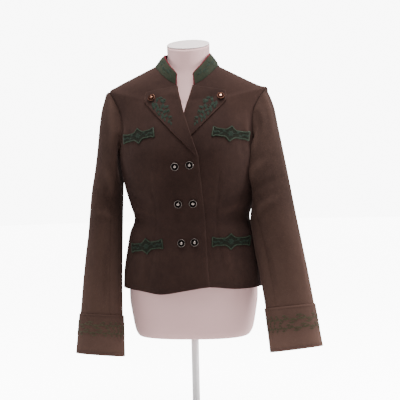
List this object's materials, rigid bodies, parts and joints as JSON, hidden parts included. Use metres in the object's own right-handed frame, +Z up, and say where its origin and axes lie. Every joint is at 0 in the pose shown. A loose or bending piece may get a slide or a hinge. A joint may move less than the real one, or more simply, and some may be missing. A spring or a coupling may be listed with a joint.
{
  "type": "leather jacket on a limbless dress form with a stand",
  "caption": "Short fitted suede jacket with a green stand collar, folded lapels and cuff bands, on a limbless dress form with a round foot.",
  "frame": {"origin": "centre of the underside of the stand's foot, on the floor and on the pole's axis", "axes": "+Z up, the jacket's front faces -Y, +X towards the wearer's left"},
  "size_m": [0.5826, 0.29, 0.9199],
  "materials": {
    "suede_body": "matt reddish brown suede, dark on the body",
    "suede_sleeve": "matt reddish brown suede, a little lighter",
    "green_trim": "matt dark green suede, embroidered",
    "button_metal": "aged silver",
    "stud_metal": "aged copper",
    "form_cloth": "pale pinkish jersey",
    "stand_metal": "satin white paint"
  },
  "bodies": {
    "root": {"front_right": "suede_body", "back_right": "suede_body", "front_left": "suede_body", "back_left": "suede_body", "lapel_right": "suede_body", "lapel_left": "suede_body", "sleeve_right_upper": "suede_sleeve", "sleeve_right_under": "suede_sleeve", "sleeve_left_upper": "suede_sleeve", "sleeve_left_under": "suede_sleeve", "cuff_right": "suede_sleeve", "cuff_left": "suede_sleeve", "collar": "green_trim", "motif_chest_right": "green_trim", "motif_hip_right": "green_trim", "motif_chest_left": "green_trim", "motif_hip_left": "green_trim", "button_right_1": "button_metal", "button_left_1": "button_metal", "button_right_2": "button_metal", "button_left_2": "button_metal", "button_right_3": "button_metal", "button_left_3": "button_metal", "stud_lapel_right": "stud_metal", "stud_lapel_left": "stud_metal", "form_torso": "form_cloth", "form_neck_plate": "form_cloth", "stand_pole": "stand_metal", "stand_foot": "stand_metal"}
  },
  "joints": []
}
